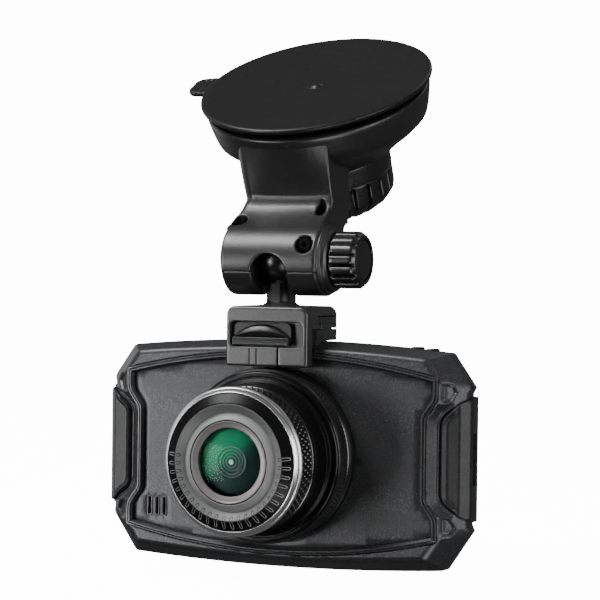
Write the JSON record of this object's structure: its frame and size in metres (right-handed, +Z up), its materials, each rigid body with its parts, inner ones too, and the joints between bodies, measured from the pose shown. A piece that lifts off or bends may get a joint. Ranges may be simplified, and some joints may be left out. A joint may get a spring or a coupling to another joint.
{
  "type": "dash camera",
  "caption": "Dash camera with a barrel lens and a rear screen, hung from a ball clamp under a twist-lock suction cup.",
  "frame": {"origin": "centre of the suction cup's window face", "axes": "+Z up, -Y the way the lens looks, +X to the right as seen from in front of the lens"},
  "size_m": [0.1026, 0.0835, 0.1421],
  "materials": {
    "cup_rubber": "smooth black rubber, semi-matt",
    "mount_plastic": "fine spark-textured black plastic",
    "knob_plastic": "black moulded plastic",
    "screw_steel": "blackened steel",
    "seat_plastic": "natural low-friction plastic",
    "ball_plastic": "smooth black plastic",
    "adapter_plastic": "satin dark grey plastic",
    "slider_plastic": "black moulded plastic",
    "case_paint": "charcoal metallic paint with a fine grain",
    "trim_paint": "satin charcoal paint, brighter at the edges",
    "grip_paint": "charcoal metallic paint",
    "lens_black": "deep black satin",
    "knurl_black": "black, knurled",
    "grey_satin": "satin grey",
    "bright_chrome": "polished",
    "scale_grey": "satin grey",
    "cone_grey": "pale satin grey",
    "rim_metal": "warm grey satin",
    "lens_glass": "green-coated glass",
    "inner_glass": "clear glass",
    "tube_metal": "black anodised",
    "filter_glass": "blue filter glass",
    "chip": "black",
    "board_green": "green board",
    "battery_foil": "foil pouch",
    "speaker_frame": "black",
    "screen_cover": "black glossy window",
    "lcd": "dark panel",
    "key_plastic": "black keys",
    "card_plastic": "black card",
    "socket_metal": "plated steel"
  },
  "bodies": {
    "mount": {"mount_housing": "mount_plastic", "suction_cup": "cup_rubber", "clamp_cover": "mount_plastic", "clamp_end_cap": "mount_plastic", "clamp_collar": "mount_plastic", "clamp_screws": "screw_steel"},
    "suction_knob": {"twist_knob": "knob_plastic"},
    "suction_stud": {"cup_stud": "ball_plastic"},
    "tightening_knob": {"clamp_knob": "knob_plastic", "clamp_knob_cap": "knob_plastic", "clamp_screw": "screw_steel"},
    "clamp_plate": {"pressure_plate": "seat_plastic"},
    "ball_seats": {"ball_seat_left": "seat_plastic", "ball_seat_right": "seat_plastic"},
    "joint_ball": {"ball": "ball_plastic"},
    "adapter": {"adapter_housing": "adapter_plastic", "ball_stem": "ball_plastic"},
    "lock_slider": {"release_slider": "slider_plastic", "latch_pawl": "slider_plastic"},
    "camera": {"front_frame": "case_paint", "panel_trim": "trim_paint", "front_panel": "case_paint", "left_grip": "grip_paint", "right_grip": "grip_paint", "rear_shell": "case_paint", "camera_rail": "case_paint", "lens_base_ring": "knurl_black", "base_trim_ring": "grey_satin", "lens_barrel": "lens_black", "grip_ring": "knurl_black", "chrome_ring": "bright_chrome", "front_ring": "lens_black", "scale_ring": "scale_grey", "cone_bezel": "cone_grey", "retaining_ring": "rim_metal", "front_lens": "lens_glass", "inner_lenses": "inner_glass", "lens_tube": "tube_metal", "lens_holder": "lens_black", "ir_filter": "filter_glass", "image_sensor": "chip", "sensor_board": "board_green", "main_board": "board_green", "battery": "battery_foil", "speaker": "speaker_frame", "microphone": "socket_metal", "display_window": "screen_cover", "lcd_panel": "lcd", "card_socket": "socket_metal", "usb_inlet": "socket_metal", "case_screws": "screw_steel"},
    "card": {"memory_card": "card_plastic"},
    "power_key": {"power_button": "key_plastic"},
    "event_key": {"event_button": "key_plastic"},
    "up_key": {"up_button": "key_plastic"},
    "ok_key": {"ok_button": "key_plastic"},
    "down_key": {"down_button": "key_plastic"},
    "menu_key": {"menu_button": "key_plastic"},
    "mode_key": {"mode_button": "key_plastic"}
  },
  "joints": [
    {"name": "suction_twist", "type": "hinge", "parent": "mount", "child": "suction_knob", "pos_m": [0, 0, 0], "axis": [0, -0.454, 0.891], "range_deg": [0, 90]},
    {"name": "stud_draw", "type": "slide", "parent": "mount", "child": "suction_stud", "axis": [0, 0.454, -0.891], "range_m": [0, 0.0017]},
    {"name": "clamp_turn", "type": "hinge", "parent": "mount", "child": "tightening_knob", "pos_m": [0, -0.021, -0.0476], "axis": [1, 0, 0], "range_deg": [0, 360]},
    {"name": "plate_slide", "type": "slide", "parent": "mount", "child": "clamp_plate", "axis": [1, 0, 0], "range_m": [0, 0.00081]},
    {"name": "ball_tilt", "type": "hinge", "parent": "mount", "child": "ball_seats", "pos_m": [0, -0.021, -0.0476], "axis": [-1, 0, 0], "range_deg": [-8, 45]},
    {"name": "ball_roll", "type": "hinge", "parent": "ball_seats", "child": "joint_ball", "pos_m": [0, -0.021, -0.0476], "axis": [0, 1, 0], "range_deg": [-5, 5]},
    {"name": "camera_swivel", "type": "hinge", "parent": "joint_ball", "child": "adapter", "pos_m": [0, -0.021, -0.0476], "axis": [0, 0, 1], "range_deg": [-90, 90]},
    {"name": "lock_slide", "type": "slide", "parent": "adapter", "child": "lock_slider", "axis": [1, 0, 0], "range_m": [0, 0.0034]},
    {"name": "camera_slide", "type": "slide", "parent": "adapter", "child": "camera", "axis": [1, 0, 0], "range_m": [0, 0.024]},
    {"name": "card_push", "type": "slide", "parent": "camera", "child": "card", "axis": [1, 0, 0], "range_m": [0, 0.012]},
    {"name": "power_press", "type": "slide", "parent": "camera", "child": "power_key", "axis": [0, 0, -1], "range_m": [0, 0.0004], "stiffness_N_per_m": 300},
    {"name": "event_press", "type": "slide", "parent": "camera", "child": "event_key", "axis": [0, 0, -1], "range_m": [0, 0.0004], "stiffness_N_per_m": 300},
    {"name": "up_press", "type": "slide", "parent": "camera", "child": "up_key", "axis": [0, -1, 0], "range_m": [0, 0.0005], "stiffness_N_per_m": 300},
    {"name": "ok_press", "type": "slide", "parent": "camera", "child": "ok_key", "axis": [0, -1, 0], "range_m": [0, 0.0005], "stiffness_N_per_m": 300},
    {"name": "down_press", "type": "slide", "parent": "camera", "child": "down_key", "axis": [0, -1, 0], "range_m": [0, 0.0005], "stiffness_N_per_m": 300},
    {"name": "menu_press", "type": "slide", "parent": "camera", "child": "menu_key", "axis": [0, -1, 0], "range_m": [0, 0.0005], "stiffness_N_per_m": 300},
    {"name": "mode_press", "type": "slide", "parent": "camera", "child": "mode_key", "axis": [0, -1, 0], "range_m": [0, 0.0005], "stiffness_N_per_m": 300}
  ],
  "couplings": [
    {"joint": "stud_draw", "follows": "suction_twist", "m_per_rad": 0.00101},
    {"joint": "plate_slide", "follows": "clamp_turn", "m_per_rad": 0.000127}
  ]
}
